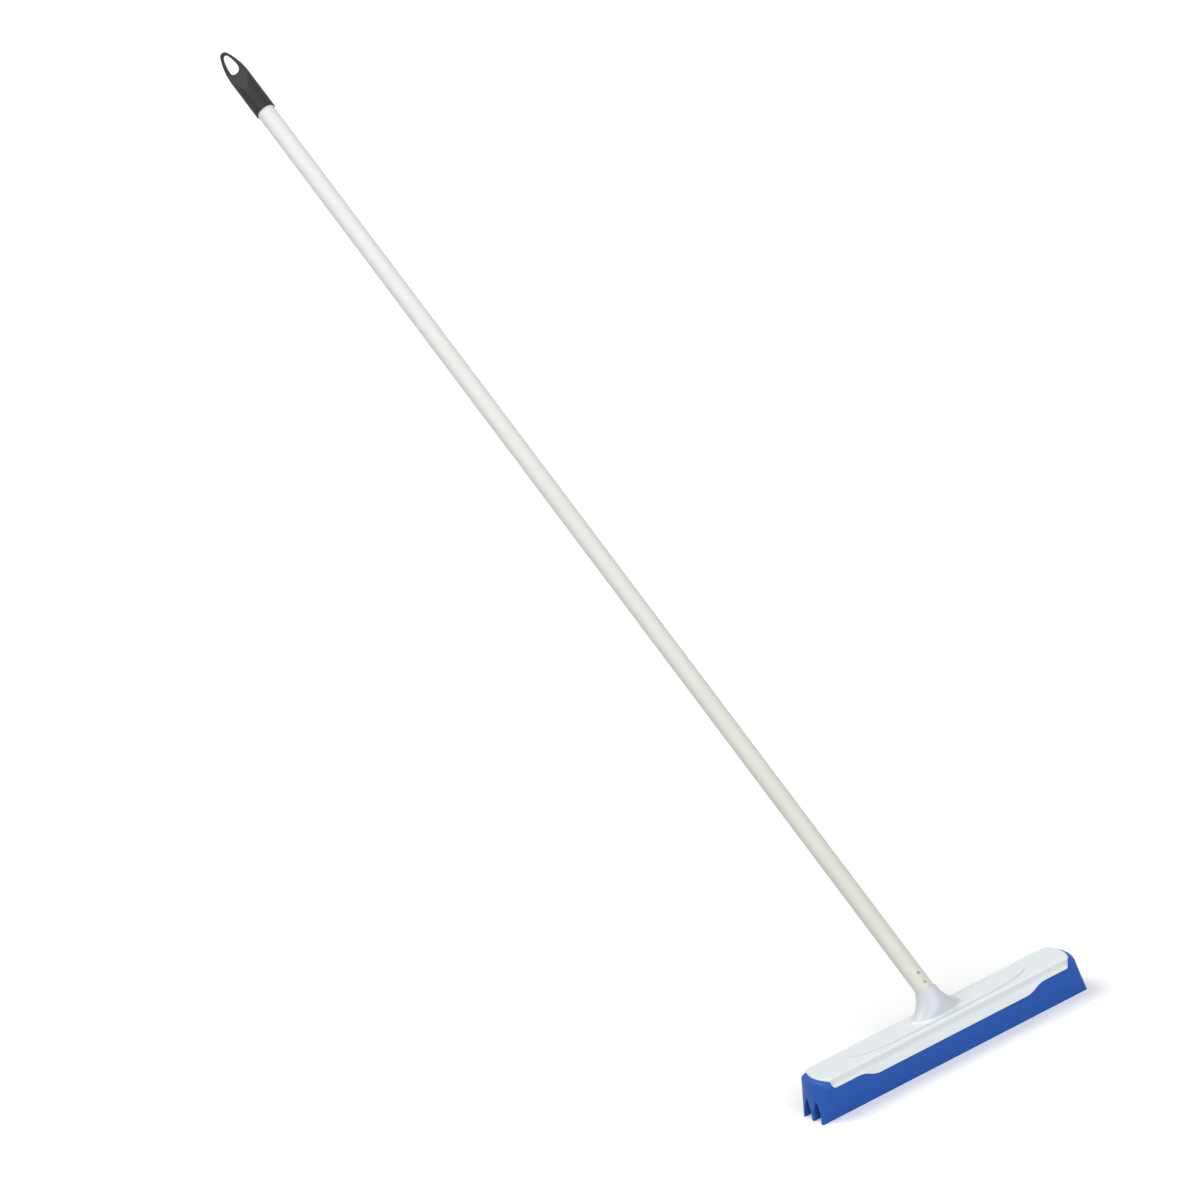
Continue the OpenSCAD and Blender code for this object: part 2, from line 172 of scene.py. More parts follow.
class HandleSizes(bpy.types.PropertyGroup):
    """Sizes and colours of the tube, its ferrule and its hang cap."""
    tube_d: length("Tube diameter", "Outside diameter of the coated tube", 22)
    tube_wall: length("Tube wall", "Wall of the tube", 0.8)
    tube_edge: length("Tube edge", "Rounding of the tube's ends", 0.3)
    tube_len: length("Tube length", "Length of the tube", 1400)
    tube_seat: length("Tube seat", "Length of tube inside the socket", 8)
    crimp_r: length("Crimp radius", "Radius of a punched crimp", 2)
    crimp_depth: length("Crimp depth", "Depth of a crimp", 1.6)
    crimp_soft: length("Crimp softness", "Softness of a crimp's rim", 0.06)
    crimp_rise: length("Crimp rise", "Height of the lower crimp above the rim", 3.5)
    crimp_pitch: length("Crimp pitch", "Distance between the crimps", 13)
    thread_d: length("Thread", "Outside diameter of the thread", 19.4)
    thread_len: length("Thread length", "Length of the thread", 12)
    thread_lead: length("Thread lead", "Rise of the thread in one turn", 4)
    thread_deep: length("Thread depth", "Depth of the thread below its crest", 1.1)
    thread_chamfer: length("Thread chamfer", "Lead-in chamfer at the tip of the thread", 2)
    collar_h: length("Collar", "Thickness of the ferrule's collar", 2)
    collar_edge: length("Collar edge", "Chamfer of the collar's lower edge", 0.3)
    plug_gap: length("Plug gap", "Gap between the tube and the ferrule's plug", 0.1)
    plug_len: length("Plug", "Length of the ferrule's plug in the tube", 36)
    cap_d: length("Cap diameter", "Outside diameter of the cap's sleeve", 25.4)
    cap_len: length("Cap length", "Length of the cap from mouth to tip", 94)
    cap_grip: length("Cap grip", "Depth of tube inside the cap", 38)
    cap_gap: length("Cap gap", "Gap between the tube and the cap", 0.15)
    cap_turn: angle("Cap turn", "Turn of the cap about the handle, as it was pushed on", -40)
    cap_lip: length("Cap lip", "Rounding of the cap's mouth", 0.3)
    cap_taper: length("Cap taper", "Length over which the cap draws in", 40)
    cap_tip: length("Cap tip", "Radius of the cap's tip", 5.6)
    loop_t: length("Loop", "Thickness of the flat loop", 5.5)
    loop_blend: length("Loop blend", "Radius of the hollow that thins the sleeve to the loop", 48)
    eye_w: length("Eye width", "Width of the hang eye", 13.4)
    eye_len: length("Eye length", "Length of the hang eye", 29)
    eye_tip: length("Eye tip", "Radius of the eye's narrow end", 3.2)
    eye_wall: length("Eye wall", "Wall between the eye and the tip", 4)
    eye_round: length("Eye rounding", "Rounding of the eye's edges", 1.1)
    low_colour: colour("Lower colour", "Cream of the coating near the head", "#d6d5cc")
    high_colour: colour("Upper colour", "White of the coating near the cap", "#e7e7e6")
    worn_colour: colour("Worn colour", "Grey of the worn coating in the crimps", "#a5a297")
    cap_colour: colour("Cap colour", "Charcoal of the cap", "#20201f")
    ferrule_colour: colour("Ferrule colour", "Grey of the ferrule", "#b9bdbd")


class StageSizes(bpy.types.PropertyGroup):
    """Place of the camera, as fitted to the photograph, and levels of the lights."""
    azimuth: angle("Azimuth", "Turn of the camera from the front towards the right", -28.8134)
    elevation: angle("Elevation", "Rise of the camera above the level", 23.0085)
    roll: angle("Roll", "Turn of the camera about its line of sight", 13.4661)
    distance: length("Distance", "Distance from the aimed point", 10000)
    aim: FloatVectorProperty(name="Aim", description="Point in the middle of the picture", subtype="XYZ",
                             unit="LENGTH", default=(-0.29636, 0.0, 0.69437))
    lens: number("Lens", "Focal length in millimetres on a 36 mm sensor", 278.357)
    sky: number("Sky", "Strength of the even light from all round", 0.33)
    key: number("Key", "Strength of the soft light from above and behind", 1.2)
    fill: number("Fill", "Strength of the softer light from the front", 1.9)


# Meshes from grids of points

def grid_faces(rows, cols, closed):
    """Quads between neighbouring rows and columns of a grid, and round its last column where it is closed."""
    i = np.arange(rows - 1)[:, None]
    j = np.arange(cols if closed else cols - 1)[None, :]
    low, high = i * cols + j, i * cols + (j + 1) % cols
    return np.stack([low, high, high + cols, low + cols], -1).reshape(-1, 4)


def build(name, sheets, finish, body, node, crease=38.0):
    """One piece from grids of points.

    Edges that meet are welded, open ends closed, faces turned outwards and creases kept."""
    points, faces, start = [], [], 0
    for grid, closed in sheets:
        rows, cols = grid.shape[:2]
        points.append(grid.reshape(-1, 3))
        faces.append(grid_faces(rows, cols, closed) + start)
        start += rows * cols
    mesh = bpy.data.meshes.new(name)
    mesh.from_pydata(np.concatenate(points).tolist(), [], np.concatenate(faces).tolist())
    work = bmesh.new()
    work.from_mesh(mesh)
    bmesh.ops.remove_doubles(work, verts=work.verts, dist=WELD)
    bmesh.ops.dissolve_degenerate(work, edges=work.edges, dist=WELD)
    bmesh.ops.holes_fill(work, edges=[edge for edge in work.edges if edge.is_boundary], sides=0)
    bmesh.ops.recalc_face_normals(work, faces=work.faces)
    work.to_mesh(mesh)
    work.free()
    mesh.shade_smooth()
    mesh.set_sharp_from_angle(angle=math.radians(crease))
    mesh.materials.append(finish)
    piece = bpy.data.objects.new(name, mesh)
    bpy.context.scene.collection.objects.link(piece)
    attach(piece, body)
    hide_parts(node)
    return piece


def on_axis(s, x, n):
    """Points at station s along the handle's axis, x sideways of it and n off its front."""
    s, x, n = np.broadcast_arrays(s, x, n)
    return FOOT + s[..., None] * AXIS + x[..., None] * SIDEWAYS - n[..., None] * DOWN_BACK


def turned(radius, station, turns):
    """Rings round the handle's axis at the angles turns.

    Radius and station are given by row, or by row and column."""
    radius, station = np.broadcast_arrays(np.atleast_2d(radius), np.atleast_2d(station))
    return on_axis(station, radius * np.sin(turns), radius * np.cos(turns))


def ease(t):
    """Smooth step: 3 t^2 - 2 t^3 between 0 and 1."""
    t = np.clip(t, 0.0, 1.0)
    return t * t * (3 - 2 * t)


# Plan outlines

SIDE_STEPS, CORNER_STEPS, END_STEPS = 100, 10, 18


def ring(x, y, z):
    """Mirrors a quarter outline, from the middle of a side to the end, into a closed ring of points."""
    there = np.arange(len(x) - 1)
    back = np.arange(len(x) - 1, 0, -1)
    order = np.concatenate([there, back, there, back])
    count = len(there)
    flip_x = np.repeat([1, 1, -1, -1], count)
    flip_y = np.repeat([-1, 1, 1, -1], count)
    z = np.broadcast_to(z, x.shape)
    return np.stack([flip_x * x[order], flip_y * y[order], z[order]], -1)


def end_arc(c):
    """Radius and middle of the plate's end arc: (h^2 + b^2) / (2 b) for half width h and bulge b."""
    half = c.plate_w / 2
    radius = (half ** 2 + c.end_bulge ** 2) / (2 * c.end_bulge)
    return radius, c.corner_x + c.end_bulge - radius


def end_place(c, y):
    """Distance of the end arc from the middle of the head at y: its middle plus sqrt(r^2 - y^2)."""
    end_r, end_x = end_arc(c)
    return end_x + math.sqrt(end_r ** 2 - y ** 2)


def plate_plan(c, inset=0.0):
    """A quarter of the plate's plan, drawn in by inset: a straight side, a rounded corner and the end arc."""
    end_r, end_x = end_arc(c)
    half_w, end_r, corner_r = c.plate_w / 2 - inset, end_r - inset, c.plan_corner - inset
    corner_x = end_x + math.sqrt((end_r - corner_r) ** 2 - (half_w - corner_r) ** 2)
    meet = math.atan2(half_w - corner_r, corner_x - end_x)
    side = np.linspace(0, corner_x, SIDE_STEPS, endpoint=False)
    bend = np.linspace(math.pi / 2, meet, CORNER_STEPS, endpoint=False)
    arc = np.linspace(meet, 0, END_STEPS)
    x = np.concatenate([side, corner_x + corner_r * np.cos(bend), end_x + end_r * np.cos(arc)])
    y = np.concatenate([np.full(SIDE_STEPS, half_w), half_w - corner_r + corner_r * np.sin(bend),
                        end_r * np.sin(arc)])
    return x, y


def skirt_y(c):
    """Half width of the skirt at its lower edge."""
    return c.plate_w / 2 + c.skirt_spread


def shoulder_y(b, c):
    """Half width of the blade at its shoulders, a step in from the apron."""
    return skirt_y(c) - b.apron_step


def shoulder_z(b):
    """Height at which the blade's shoulders begin to round in."""
    return b.shoulder_h - b.shoulder_r


def arch(half_w, tall, tip_r, steps=60, tip_steps=40):
    """Half of a pointed arch, from its foot at half_w to the middle of its round tip, as across and up.

    The side starts upright and is an arc of radius ((tall - r)^2 / (w - r) + w + r) / 2, with w for half_w
    and r for the radius of the tip that it runs into."""
    big = ((tall - tip_r) ** 2 / (half_w - tip_r) + half_w + tip_r) / 2
    meet = math.atan2(tall - tip_r, big - half_w)
    side = np.linspace(0, meet, steps, endpoint=False)
    tip = np.linspace(meet, math.pi / 2, tip_steps)
    across = np.concatenate([half_w - big + big * np.cos(side), tip_r * np.cos(tip)])
    up = np.concatenate([big * np.sin(side), tall - tip_r + tip_r * np.sin(tip)])
    return across, up


def apron_depth(c, x):
    """Depth of the apron at x: full in the middle, and two equal arcs that meet halfway along each sweep."""
    r = (c.sweep_len ** 2 + c.apron_h ** 2) / (4 * c.apron_h)
    d = np.clip(np.abs(x) - c.apron_len / 2, 0, c.sweep_len)
    low = c.apron_h - r + np.sqrt(r * r - np.minimum(d, c.sweep_len / 2) ** 2)
    rest = np.minimum(c.sweep_len - d, c.sweep_len / 2)
    return np.where(d < c.sweep_len / 2, low, r - np.sqrt(r * r - rest ** 2))


def band_foot(c, x):
    """Height of the band's lower edge at x: level, then round its lower corner at the end."""
    d = np.clip(np.abs(x) - end_place(c, skirt_y(c)) + c.band_corner, 0, c.band_corner)
    return c.top - c.band_h + c.band_corner - np.sqrt(c.band_corner ** 2 - d ** 2)


def face_lean(b, c):
    """Lean of the blade's long faces: how far they widen per height up to the shoulders."""
    return (shoulder_y(b, c) - b.tip_w / 2) / shoulder_z(b)


# Cover

# Bend of the leaf's sides, bluntness of its tips, and packing of its points towards them
LEAF_BEND, LEAF_TIP, LEAF_PACK = 4, 0.62, 0.85
# Rings out across the panel and out across the plate, as shares of the way
PANEL_SHARES, PLATE_SHARES = (0.0, 0.35, 0.7, 0.9), (0.1, 0.4, 0.75)
PANEL_STEPS, EDGE_STEPS = 9, 8


def panel_outline(c):
    """A quarter of the leaf: half width (1 - u^bend)^tip, with points packed towards its tip."""
    share = np.linspace(0, 1, SIDE_STEPS + CORNER_STEPS + END_STEPS)
    u = np.sin(share ** LEAF_PACK * math.pi / 2)
    return u * c.panel_len / 2, c.panel_w / 2 * np.maximum(1 - u ** LEAF_BEND, 0) ** LEAF_TIP


def top_rows(c):
    """Rings of the panel, of the steep step round it and of the plate out to its rounded edge.

    The step is a half wave of a cosine, and the edge is a quarter circle."""
    px, py = panel_outline(c)

    def grown(out):
        """The leaf's outline grown by out."""
        return px * (1 + out / (c.panel_len / 2)), py * (1 + out / (c.panel_w / 2))

    ix, iy = grown(-c.panel_step / 2)
    rows = [ring(ix, iy * share, c.top + c.panel_h) for share in PANEL_SHARES]
    for t in np.linspace(0, 1, PANEL_STEPS):
        height = c.panel_h * (1 + math.cos(math.pi * t)) / 2
        rows.append(ring(*grown((t - 0.5) * c.panel_step), c.top + height))
    fx, fy = grown(c.panel_step / 2)
    ex, ey = plate_plan(c, c.edge_r)
    for share in PLATE_SHARES:
        rows.append(ring(fx + (ex - fx) * share, fy + (ey - fy) * share, c.top))
    for a in np.linspace(0, math.pi / 2, EDGE_STEPS):
        outline = plate_plan(c, c.edge_r * (1 - math.sin(a)))
        rows.append(ring(*outline, c.top - c.edge_r * (1 - math.cos(a))))
    return rows


BAND_STEPS = 20
# Deepest line of the hollow down the band, how softly its slopes meet there, and where the lip starts
BAND_KNEE, BAND_BLEND, LIP_START = 0.7, 0.3, 0.8
# Rings down the apron, as shares of its depth, and angles round its lower edge
APRON_SHARES, ROUND_ANGLES = (0.08, 0.35, 0.7, 0.93, 1.0), (math.pi / 4, math.pi / 2)
# Share of its length at which the ceiling inside closes on a line
CEILING_LINE = 0.95


def hollow(down):
    """Share of the hollow's depth at a share of the way down the band.

    Two straight slopes a and b are joined by (a + b - sqrt((a - b)^2 + e^2)) / 2, where e is the blend."""
    a, b = down / BAND_KNEE, (1 - down) / (1 - BAND_KNEE)
    return np.maximum((a + b - np.sqrt((a - b) ** 2 + BAND_BLEND ** 2)) / 2, 0)


def cover_skin(c):
    """Closed shell of the cover as rings: the top, the hollow band, the apron and the inside.

    Each ring of the band is a plan outline moved in by the hollow and out by a lip, which gives way to the
    flaring apron. Round the corners all three fade out, so that the ends stay upright."""
    rows = top_rows(c)
    qx, qy = plate_plan(c)
    side = 1 - ease((np.arange(len(qx)) - SIDE_STEPS) / CORNER_STEPS)
    foot = band_foot(c, qx)
    start = c.top - c.edge_r
    run = c.band_h - c.edge_r
    depth = apron_depth(c, qx)
    lip = c.band_lip * (1 - depth / c.apron_h)

    def band_out(z):
        """How far the band stands out at height z."""
        down = (start - z) / run
        return (lip * ease((down - LIP_START) / (1 - LIP_START)) - c.band_sag * hollow(down)) * side

    for t in np.linspace(0, 1, BAND_STEPS)[1:]:
        z = start - (start - foot) * t
        rows.append(ring(qx, qy + band_out(z), z))
    flare = c.skirt_spread * depth / c.apron_h * side
    for t in APRON_SHARES:
        low = qy + band_out(foot) + flare * t
        rows.append(ring(qx, low, foot - depth * t))
    for a in ROUND_ANGLES:
        inward = c.apron_round * (1 - math.cos(a))
        rows.append(ring(qx - inward * (1 - side), low - inward * side, foot - depth))
    ix, iy = plate_plan(c, c.skirt_t)
    inner = np.minimum(iy + (low - qy) * side, low - c.skirt_t * side)
    ceiling = c.top - c.plate_t
    rows.append(ring(ix, np.maximum(inner, 0), foot - depth))
    rows.append(ring(ix, iy, foot))
    rows.append(ring(ix, iy, ceiling))
    rows.append(ring(ix * CEILING_LINE, iy * 0.0, ceiling))
    return np.stack(rows)


NECK_SIDES, NECK_STEPS, FILLET_STEPS, RIM_STEPS = 112, 34, 9, 6


def neck_skin(c):
    """Closed skin of the neck: a loft from a round leaning rim to a flared oval foot, with its bore.

    Each line of the loft is the cubic of four points. It leaves the rim along the handle's axis and lands on
    the foot, and a short parabola, the fillet, then lays it level with the panel."""
    a = np.linspace(0, TAU, NECK_SIDES, endpoint=False)
    sin, cos = np.sin(a), np.cos(a)
    radius, bore, thread = c.neck_d / 2, c.socket_d / 2, c.thread_bore / 2
    level = c.top + c.panel_h + HAIR
    tilt = math.tan(LEAN - c.rim_lean)
    run = c.rear_run + (c.front_run - c.rear_run) * ((1 + cos) / 2) ** 2

    def at_rim(r, drop):
        """Points round the leaning rim at radius r, dropped along the axis."""
        return on_axis(c.neck_len - tilt * r * cos - drop, r * sin, r * cos)

    def at_foot(draw, rise):
        """Points round the oval foot, drawn in along the head and raised at front and back."""
        return np.stack([(c.foot_rx - draw) * sin, c.foot_y - c.foot_ry * cos,
                         level + c.fillet + rise * cos ** 2], -1)

    p0, p1 = at_rim(radius, c.rim_round), at_rim(radius, run)
    p2, p3 = at_foot(c.flare_w, c.flare_rise), at_foot(0, 0)
    t = np.linspace(0, 1, NECK_STEPS)[:, None, None]
    loft = (1 - t) ** 3 * p0 + 3 * t * (1 - t) ** 2 * p1 + 3 * t * t * (1 - t) * p2 + t ** 3 * p3
    bend = p3 + (p3 - p2) * (c.fillet / c.flare_rise)
    bend[:, 2] = level
    outward = np.stack([sin * c.foot_ry, -cos * c.foot_rx, 0 * a], -1)
    outward /= np.linalg.norm(outward, axis=-1, keepdims=True)
    land = bend + outward * np.linalg.norm(p3 - bend, axis=-1, keepdims=True)
    t = np.linspace(0, 1, FILLET_STEPS)[1:, None, None]
    fillet = (1 - t) ** 2 * p3 + 2 * t * (1 - t) * bend + t ** 2 * land
    sunk = land - [0, 0, c.panel_h + c.plate_t / 2]
    middle = np.broadcast_to([0, c.foot_y, sunk[0, 2]], sunk.shape)
    lip = [at_rim(radius - c.rim_round * (1 - math.cos(k)), c.rim_round * (1 - math.sin(k)))
           for k in np.linspace(math.pi / 2, 0, RIM_STEPS)[:-1]]
    mouth = [at_rim(bore + c.rim_round / 2, 0.0), at_rim(bore, c.rim_round / 2)]
    inside = [on_axis(s, r * sin, r * cos) for s, r in
              ((c.socket_s, bore), (c.socket_s, thread), (c.thread_s, thread), (c.thread_s, 0.0))]
    return np.stack(inside[::-1] + mouth[::-1] + lip + list(loft) + list(fillet) + [sunk, middle])


# Blade

# Points up a slot's side and round its tip, across the middle lip, and in from the outer faces
SLOT_STEPS, SLOT_TIP_STEPS, LIP_STEPS, OUTER_STEPS = 22, 6, 5, 8


def slot_outline(b):
    """Bottom of the blade across the head: three flat lips and two pointed arches between them.

    Returns y and z from one outer face to the other, with points packed towards the outer corners."""
    half_w = (b.tip_w - 3 * b.lip_t) / 4
    across, up = arch(half_w, b.slot_h, b.slot_tip, SLOT_STEPS, SLOT_TIP_STEPS)
    slot_y = np.concatenate([-across, across[-2::-1]])
    slot_z = np.concatenate([up, up[-2::-1]])
    apart = b.lip_t / 2 + half_w
    lip = np.linspace(-0.5, 0.5, LIP_STEPS)[1:-1] * b.lip_t
    outer = b.lip_t * (1 - np.cos(np.linspace(0, math.pi / 2, OUTER_STEPS)))[:-1] - b.tip_w / 2
    y = np.concatenate([outer, slot_y - apart, lip, slot_y + apart, -outer[::-1]])
    z = np.concatenate([0 * outer, slot_z, 0 * lip, slot_z, 0 * outer])
    return y, z


def round_in(b, z):
    """How far the rounded shoulders have drawn in at height z: a quarter circle."""
    up = np.clip((z - b.shoulder_h + b.shoulder_r) / b.shoulder_r, 0, 1)
    return b.shoulder_r * (1 - np.sqrt(1 - up ** 2))


def blade_half_width(b, c, z):
    """Half width of the blade at height z: drafted up to the shoulders, then rounded in."""
    return b.tip_w / 2 + face_lean(b, c) * np.minimum(z, shoulder_z(b)) - round_in(b, z)


def flat_end(half_w, corner, reach, v):
    """Reach of a flat end with rounded corners, at share v of its half width."""
    past = np.clip(np.abs(v) * half_w - half_w + corner, 0, corner)
    return reach - corner + np.sqrt(corner ** 2 - past ** 2)


def arc_end(half_w, corner, radius, middle, v):
    """Reach of an end that is an arc about middle with rounded corners, at share v of its half width."""
    y = np.abs(v) * half_w
    corner_x = middle + np.sqrt((radius - corner) ** 2 - (half_w - corner) ** 2)
    past = np.clip(y - half_w + corner, -corner, corner)
    on_arc = middle + np.sqrt(np.maximum(radius ** 2 - y ** 2, 0))
    on_corner = corner_x + np.sqrt(np.maximum(corner ** 2 - past ** 2, 0))
    return np.where(y < radius * (half_w - corner) / (radius - corner), on_arc, on_corner)


def blade_reach(b, c, v, z):
    """Half length of the blade at share v of its half width and height z.

    At the floor the end is flat, at the shoulders it is the cover's end arc grown by the ledge, and the two
    are joined by straight lines. Above, it rounds in with the shoulders."""
    end_r, end_x = end_arc(c)
    inset = round_in(b, z)
    low = flat_end(b.tip_w / 2, b.tip_corner, b.reach / 2, v)
    high = arc_end(shoulder_y(b, c) - inset, b.shoulder_corner, end_r + b.ledge - inset, end_x, v)
    return low + (high - low) * np.clip(z / shoulder_z(b), 0, 1)


RISE_STEPS, ROUND_STEPS, FACE_STEPS, BOTTOM_STEPS = 19, 12, 110, 61
# Hidden gaps: under the cover's edge, up its rounded corners, under the plate, and past the end of the wall
EDGE_GAP, CORNER_LIFT, PLATE_GAP, WALL_STEP = 5 * HAIR, 20 * HAIR, 10 * HAIR, 5 * HAIR


def cover_edge(b, c, top):
    """Places along a long face of the blade, and the height at which the cover's lower edge meets it at each.

    Round the band's corners the edge is lifted a little. Past the end of the cover's wall the face is open up
    to its top."""
    wall = end_place(c, shoulder_y(b, c))
    cols = np.concatenate([np.linspace(0, wall, FACE_STEPS), [wall + WALL_STEP, wall + c.apron_round]])
    cols = np.concatenate([-cols[:0:-1], cols])
    edge = band_foot(c, cols) - apron_depth(c, cols) - EDGE_GAP
    edge = np.where(np.abs(cols) > wall - c.band_corner, np.minimum(edge + CORNER_LIFT, top), edge)
    return cols, np.where(np.abs(cols) > wall, top, edge)


def blade_skin(b, c):
    """Sheets of the blade's skin: two ends, two long faces, the slotted bottom and the part under the cover.

    The bottom's outline rises to the shoulders while its share of the half width runs to an even spread. Each
    long face ends at the cover's lower edge, and is tucked in under the skirt from there."""
    ys, zs = slot_outline(b)
    top = b.shoulder_h - HAIR
    bend = shoulder_z(b) / top
    rise = np.concatenate([np.linspace(0, bend, RISE_STEPS)[:-1],
                           bend + (1 - bend) * np.sin(np.linspace(0, math.pi / 2, ROUND_STEPS))])
    share = ys / blade_half_width(b, c, zs)
    z = zs[:, None] + (top - zs[:, None]) * rise
    v = share[:, None] + (ys / ys[-1] - share)[:, None] * rise
    y, x = v * blade_half_width(b, c, z), blade_reach(b, c, v, z)
    sheets = [np.stack([side * x, y, z], -1) for side in (-1, 1)]
    cols, edge = cover_edge(b, c, top)
    heights = np.concatenate([[top], edge, [top]])[:, None] * rise
    limit = blade_reach(b, c, np.full(len(rise), 1.0), heights[0])
    along = np.broadcast_to(np.concatenate([[0], cols, [0]])[:, None], heights.shape).copy()
    along[0], along[-1] = -limit, limit
    folds = []
    for side in (-1, 1):
        face = np.stack([along, side * blade_half_width(b, c, heights), heights], -1)
        tucked = face[:, -1] - [0, side * (c.skirt_t + c.band_sag), 0]
        raised = tucked.copy()
        raised[1:-1, 2] = c.top - c.plate_t - PLATE_GAP
        folds.append([face[:, -1], tucked, raised])
        sheets.append(face)
    spread = np.linspace(-1, 1, BOTTOM_STEPS)[:, None]
    sheets.append(np.stack(np.broadcast_arrays(spread * x[:, 0], ys, zs), -1))
    sheets.append(np.stack(folds[0] + folds[1][::-1]))
    return sheets


# Handle

def rim_station():
    """Station of the neck's rim along the handle's axis."""
    return bpy.context.scene.squeegee_cover.neck_len


def revolved(pairs, turns):
    """Rings round the handle's axis from pairs of radius and station."""
    pairs = np.array(pairs)
    return turned(pairs[:, :1], pairs[:, 1:], turns)


TUBE_TURNS, TUBE_STEPS, CRIMP_STEP = 168, 60, 0.12 * MM
# Packing of points round the tube, and how many crimp radii have close rings and how many can be dented
TUBE_PACK, CRIMP_CLOSE, CRIMP_REACH = 0.4, 1.5, 2
# Softnesses past which a crimp's soft rim is taken as straight
SOFT_END = 40


def crimp_dent(h, gap, turns):
    """Depth of the crimps at distances gap from their middles along the tube, and at the angles turns.

    At distance d from the middle a sphere dents the tube by t = sqrt(r^2 - d^2) - (r - depth), and the rim is
    softened by s log(1 + exp(t / s))."""
    away = np.abs(np.angle(np.exp(2j * turns))) / 2
    d = np.hypot(gap, h.tube_d / 2 * away)
    ball = np.sqrt(np.maximum(h.crimp_r ** 2 - d ** 2, 0)) - (h.crimp_r - h.crimp_depth)
    soft = np.logaddexp(0, np.clip(ball / h.crimp_soft, -SOFT_END, SOFT_END))
    return h.crimp_soft * soft * (d < CRIMP_REACH * h.crimp_r)


def tube_skin(h):
    """Closed skin of the tube: rings along its axis, dented by the crimps, with rounded ends.

    Points are packed round the front and the back, where the crimps are, by a - pack * sin(2 a)."""
    even = np.linspace(0, TAU, TUBE_TURNS, endpoint=False)
    turns = even - TUBE_PACK * np.sin(2 * even)
    radius, wall, edge = h.tube_d / 2, h.tube_wall, h.tube_edge
    low = rim_station() - h.tube_seat
    high = low + h.tube_len
    crimps = rim_station() + h.crimp_rise + np.array([0, h.crimp_pitch])
    close = CRIMP_CLOSE * h.crimp_r
    fine = np.arange(crimps[0] - close, crimps[1] + close, CRIMP_STEP)
    stations = np.concatenate([[low + edge], fine, np.linspace(fine[-1], high - edge, TUBE_STEPS)[1:]])
    gap = np.abs(stations[:, None] - crimps).min(1)[:, None]
    outside = turned(radius - crimp_dent(h, gap, turns), stations[:, None], turns)
    mid, cut = radius - wall / 2, edge / 3
    lower = revolved([(mid, low), (radius - cut, low + cut)], turns)
    upper = revolved([(radius - cut, high - cut), (mid, high), (radius - wall, high),
                      (radius - wall, low), (mid, low)], turns)
    return np.concatenate([lower, outside, upper])


THREAD_TURNS, THREAD_STEPS = 120, 84
# Where a flank starts in the thread's wave, and how much of the wave it takes
FLANK_START, FLANK_W = 0.28, 0.34


def ferrule_skin(h):
    """Closed skin of the ferrule: a thread under a collar, and a plug.

    The thread's radius is a clipped triangle wave of station / lead + turn, drawn in over its chamfer. That
    sign winds it left-hand, though the handle's joints move as on a right-hand thread."""
    turns = np.linspace(0, TAU, THREAD_TURNS, endpoint=False)
    step = rim_station() - h.tube_seat - h.collar_h
    s = np.linspace(-h.thread_len, 0, THREAD_STEPS)[:, None]
    wave = np.abs(2 * ((s / h.thread_lead + turns / TAU) % 1) - 1)
    ridge = np.clip((wave - FLANK_START) / FLANK_W, 0, 1)
    lead_in = np.clip((s + h.thread_len) / h.thread_chamfer, 0, 1)
    root = h.thread_d / 2 - h.thread_deep
    thread = turned(root - h.thread_deep * (1 - lead_in) + h.thread_deep * ridge * lead_in, step + s, turns)
    collar, plug = h.tube_d / 2, h.tube_d / 2 - h.tube_wall - h.plug_gap
    under, top = step + h.collar_h - HAIR, step + h.collar_h + h.plug_len
    tip = revolved([(0, step - h.thread_len)], turns)
    rest = revolved([(collar - h.collar_edge, step), (collar, step + h.collar_edge), (collar, under),
                     (plug, under), (plug, top), (0, top)], turns)
    return np.concatenate([tip, thread, rest])


def along_line(points, shares):
    """Points at given shares of a polyline's length."""
    run = np.concatenate([[0], np.cumsum(np.linalg.norm(np.diff(points, axis=0), axis=1))])
    at = np.asarray(shares) * run[-1]
    return np.stack([np.interp(at, run, points[:, k]) for k in (0, 1)], -1)


MOUTH_STEPS, SLEEVE_STEPS, ARCH_STEPS, BOWL_STEPS, FINE_STEPS = 16, 26, 60, 40, 200
# Shares of the eye's outline at which the points that face the mouth and those that face the sleeve end
MOUTH_END, SLEEVE_END = 0.13, 0.33


def cap_outlines(h):
    """Half outlines of the cap and of its eye, from the mouth's middle to the tip, and the eye's station.

    Both give sideways and station at as many points. The cap is a sleeve and an arch, and the eye a round end
    and an arch."""
    radius, start = h.cap_d / 2, h.cap_len - h.cap_taper
    across, up = arch(radius, h.cap_taper, h.cap_tip)
    taper = along_line(np.stack([across, start + up], -1), np.linspace(0, 1, ARCH_STEPS))
    low = np.full(MOUTH_STEPS, h.cap_lip)
    mouth = np.stack([np.sin(np.linspace(0, math.pi / 2, MOUTH_STEPS)) * radius, low], -1)
    sleeve = np.stack([np.full(SLEEVE_STEPS, radius), np.linspace(h.cap_lip, start, SLEEVE_STEPS)], -1)
    wide = h.eye_w / 2
    eye_s = h.cap_len - h.eye_wall - h.eye_len + wide
    across, up = arch(wide, h.eye_len - wide, h.eye_tip)
    bowl = np.linspace(-math.pi / 2, 0, BOWL_STEPS, endpoint=False)
    eye = np.stack([np.concatenate([wide * np.cos(bowl), across]),
                    eye_s + np.concatenate([wide * np.sin(bowl), up])], -1)
    shares = np.concatenate([np.linspace(0, MOUTH_END, MOUTH_STEPS),
                             np.linspace(MOUTH_END, SLEEVE_END, SLEEVE_STEPS)[1:],
                             np.linspace(SLEEVE_END, 1, ARCH_STEPS)[1:]])
    return np.concatenate([mouth, sleeve[1:], taper[1:]]), along_line(eye, shares), eye_s


